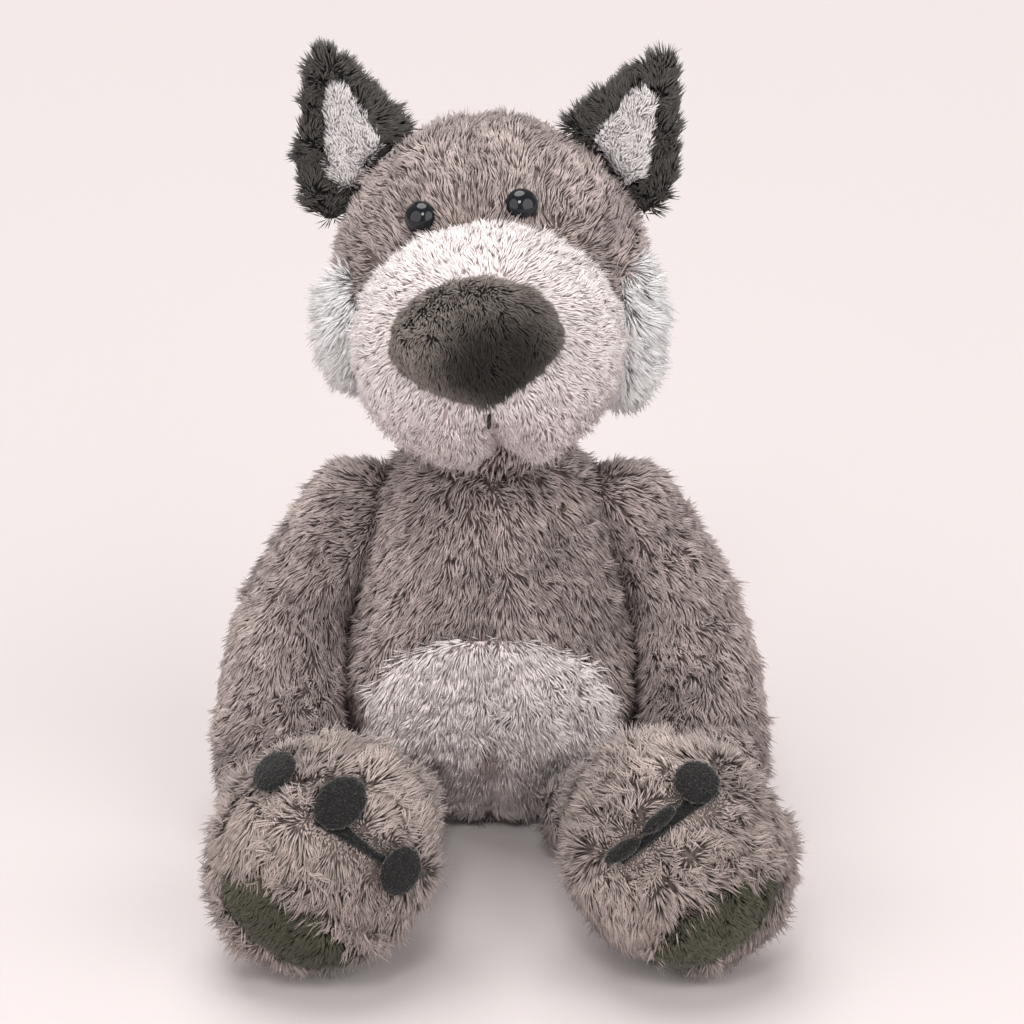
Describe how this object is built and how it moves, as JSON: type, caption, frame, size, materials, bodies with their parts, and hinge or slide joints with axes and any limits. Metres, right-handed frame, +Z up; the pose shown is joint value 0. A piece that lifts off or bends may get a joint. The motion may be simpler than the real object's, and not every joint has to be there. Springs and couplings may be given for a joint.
{
  "type": "plush dog",
  "caption": "Floppy sitting plush dog of the wolf kind with a big pale muzzle, dark ears, hanging arms and round feet.",
  "frame": {"origin": "middle of the whole toy in plan, on the surface that it sits on", "axes": "+Z up, the toy faces -Y, +X towards its own left side"},
  "size_m": [0.216, 0.3062, 0.306],
  "materials": {
    "taupe_plush": "short dense taupe plush, brushed, soft sheen",
    "foot_plush": "longer shaggy taupe plush",
    "pale_plush": "pale pinkish cream plush",
    "belly_plush": "light grey-beige plush",
    "nose_plush": "charcoal green short plush",
    "charcoal_plush": "charcoal plush",
    "ear_lining_plush": "light grey short plush",
    "white_longhair": "white long-haired plush",
    "olive_plush": "dark olive plush",
    "black_felt": "charcoal wool felt",
    "dark_thread": "dark thread",
    "fibre_fill": "white polyester fibre fill",
    "lining_cloth": "plain woven lining cloth holding plastic pellets",
    "eye_black": "black moulded plastic, polished",
    "washer_plastic": "natural moulded plastic"
  },
  "bodies": {
    "torso": {"torso_shell": "taupe_plush", "belly_patch": "belly_plush", "torso_stuffing": "fibre_fill", "pellet_bag": "lining_cloth"},
    "neck": {"neck_stuffing": "fibre_fill"},
    "head": {"head_shell": "taupe_plush", "head_stuffing": "fibre_fill", "muzzle_shell": "pale_plush", "muzzle_stuffing": "fibre_fill", "nose_cover": "nose_plush", "nose_stuffing": "fibre_fill", "mouth_stitch": "dark_thread", "eye_left": "eye_black", "eye_washer_left": "washer_plastic", "eye_right": "eye_black", "eye_washer_right": "washer_plastic", "cheek_left": "white_longhair", "cheek_right": "white_longhair"},
    "ear_left": {"ear_back_left": "charcoal_plush", "ear_lining_left": "ear_lining_plush"},
    "ear_right": {"ear_back_right": "charcoal_plush", "ear_lining_right": "ear_lining_plush"},
    "arm_left": {"arm_shell_left": "taupe_plush", "arm_stuffing_left": "fibre_fill"},
    "arm_right": {"arm_shell_right": "taupe_plush", "arm_stuffing_right": "fibre_fill"},
    "leg_left": {"leg_shell_left": "taupe_plush", "leg_stuffing_left": "fibre_fill"},
    "leg_right": {"leg_shell_right": "taupe_plush", "leg_stuffing_right": "fibre_fill"},
    "foot_left": {"foot_shell_left": "foot_plush", "sole_pad_left": "olive_plush", "foot_stuffing_left": "fibre_fill", "claw_outer_left": "black_felt", "claw_middle_left": "black_felt", "claw_inner_left": "black_felt"},
    "foot_right": {"foot_shell_right": "foot_plush", "sole_pad_right": "olive_plush", "foot_stuffing_right": "fibre_fill", "claw_outer_right": "black_felt", "claw_middle_right": "black_felt", "claw_inner_right": "black_felt"},
    "tail": {"tail_shell": "taupe_plush", "tail_stuffing": "fibre_fill"}
  },
  "joints": [
    {"name": "head_turn", "type": "hinge", "parent": "torso", "child": "neck", "pos_m": [-0.00185, 0.02242, 0.1512], "axis": [0, 0, 1], "range_deg": [-40, 40]},
    {"name": "head_nod", "type": "hinge", "parent": "neck", "child": "head", "pos_m": [-0.00185, 0.02242, 0.1512], "axis": [1, 0, 0], "range_deg": [-15, 12]},
    {"name": "ear_fold_left", "type": "hinge", "parent": "head", "child": "ear_left", "pos_m": [0.04252, 0.02692, 0.26037], "axis": [0.8988, 0, -0.4384], "range_deg": [-15, 20]},
    {"name": "ear_fold_right", "type": "hinge", "parent": "head", "child": "ear_right", "pos_m": [-0.04879, 0.02692, 0.25712], "axis": [0.9511, 0, 0.309], "range_deg": [-15, 20]},
    {"name": "arm_raise_left", "type": "hinge", "parent": "torso", "child": "arm_left", "pos_m": [0.05453, 0.02242, 0.127], "axis": [0, -1, 0], "range_deg": [0, 100]},
    {"name": "arm_raise_right", "type": "hinge", "parent": "torso", "child": "arm_right", "pos_m": [-0.05823, 0.02242, 0.127], "axis": [0, 1, 0], "range_deg": [0, 100]},
    {"name": "leg_spread_left", "type": "hinge", "parent": "torso", "child": "leg_left", "pos_m": [0.03515, -0.03958, 0.021], "axis": [0, 0, 1], "range_deg": [-6, 40]},
    {"name": "leg_spread_right", "type": "hinge", "parent": "torso", "child": "leg_right", "pos_m": [-0.03885, -0.03958, 0.021], "axis": [0, 0, -1], "range_deg": [-6, 40]},
    {"name": "foot_nod_left", "type": "hinge", "parent": "leg_left", "child": "foot_left", "pos_m": [0.05335, -0.0875, 0.03641], "axis": [1, 0, 0], "range_deg": [-12, 12]},
    {"name": "foot_nod_right", "type": "hinge", "parent": "leg_right", "child": "foot_right", "pos_m": [-0.05203, -0.08693, 0.03622], "axis": [1, 0, 0], "range_deg": [-12, 12]},
    {"name": "tail_swing", "type": "hinge", "parent": "torso", "child": "tail", "pos_m": [-0.00185, 0.08442, 0.02], "axis": [0, 0, 1], "range_deg": [-35, 35]}
  ]
}
